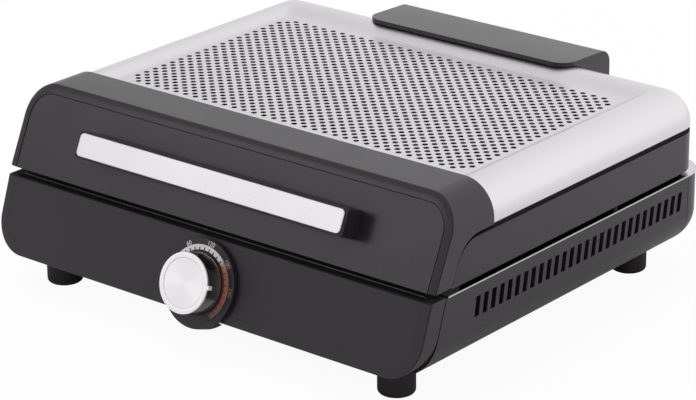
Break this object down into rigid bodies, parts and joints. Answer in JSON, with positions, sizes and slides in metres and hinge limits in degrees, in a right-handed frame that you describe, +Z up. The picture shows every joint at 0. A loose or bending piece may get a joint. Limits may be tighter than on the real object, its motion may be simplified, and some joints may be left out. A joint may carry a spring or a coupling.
{
  "type": "electric grill",
  "caption": "Countertop electric grill with a hinged lid, a perforated steel top, a leaning black front, a handle bar and a round heat dial.",
  "frame": {"origin": "centre of the bounding box, on the plane the feet stand on", "axes": "+X to the right as seen from the front, -Y to the front with the dial and handle, +Z up"},
  "size_m": [0.4, 0.3907, 0.1476],
  "materials": {
    "black_shell": "satin black moulding",
    "brushed_steel_cover": "finely brushed stainless sheet",
    "steel_pan": "pressed bright sheet",
    "steel_fastener": "plain machined steel",
    "hinge_steel": "black painted steel",
    "bright_aluminium": "spun or brushed, clear coated",
    "gloss_black": "polished black moulding with a smoked mirror coat",
    "scale_ring": "printed scale under a clear coat",
    "coated_plate": "dark non-stick coating",
    "element_sheath": "heat-darkened tube",
    "pale_insulator": "pale insulating body",
    "dark_moulding": "dark moulding",
    "sensor_copper": "drawn copper tube",
    "lead_cover": "woven and silicone lead cover",
    "black_feet": "matt black moulding",
    "soft_rest": "soft black rubber"
  },
  "bodies": {
    "base": {"front_fascia": "black_shell", "control_panel": "black_shell", "base_housing": "black_shell", "rear_cover": "black_shell", "dial_housing": "black_shell", "inner_pan": "steel_pan", "hinge_screws": "steel_fastener", "foot_screws": "steel_fastener", "service_screws": "steel_fastener", "hinge_pin_left": "steel_fastener", "hinge_pin_right": "steel_fastener", "element_terminals": "steel_fastener", "element_clips": "steel_fastener", "hinge_lug_left": "hinge_steel", "hinge_lug_right": "hinge_steel", "service_plate": "hinge_steel", "dial_ring": "scale_ring", "heating_element": "element_sheath", "element_bushes": "pale_insulator", "terminal_block": "pale_insulator", "thermostat": "dark_moulding", "cord_gland": "dark_moulding", "capillary_sensor": "sensor_copper", "lead_wires": "lead_cover", "foot_front_left": "black_feet", "foot_front_right": "black_feet", "foot_rear_left": "black_feet", "foot_rear_right": "black_feet", "lid_rests": "soft_rest"},
    "lid": {"lid_hood": "black_shell", "lid_front_panel": "black_shell", "lid_cover": "brushed_steel_cover", "grille_panel": "brushed_steel_cover", "lid_frame": "black_shell", "hinge_cover": "black_shell", "hinge_arm_left": "hinge_steel", "hinge_arm_right": "hinge_steel", "handle_bar": "black_shell", "handle_plate": "bright_aluminium", "handle_screws": "steel_fastener"},
    "knob": {"knob_body": "gloss_black", "knob_cap": "bright_aluminium", "knob_shaft": "steel_fastener"},
    "plate": {"grill_plate": "coated_plate"}
  },
  "joints": [
    {"name": "lid_hinge", "type": "hinge", "parent": "base", "child": "lid", "pos_m": [0, 0.18165, 0.09], "axis": [-1, 0, 0], "range_deg": [0, 95]},
    {"name": "knob_turn", "type": "hinge", "parent": "base", "child": "knob", "pos_m": [0.004, -0.16831, 0.048], "axis": [0, -0.9427, 0.3337], "range_deg": [-60, 150]},
    {"name": "plate_lift", "type": "slide", "parent": "base", "child": "plate", "axis": [0, 0, 1], "range_m": [0, 0.045]}
  ]
}
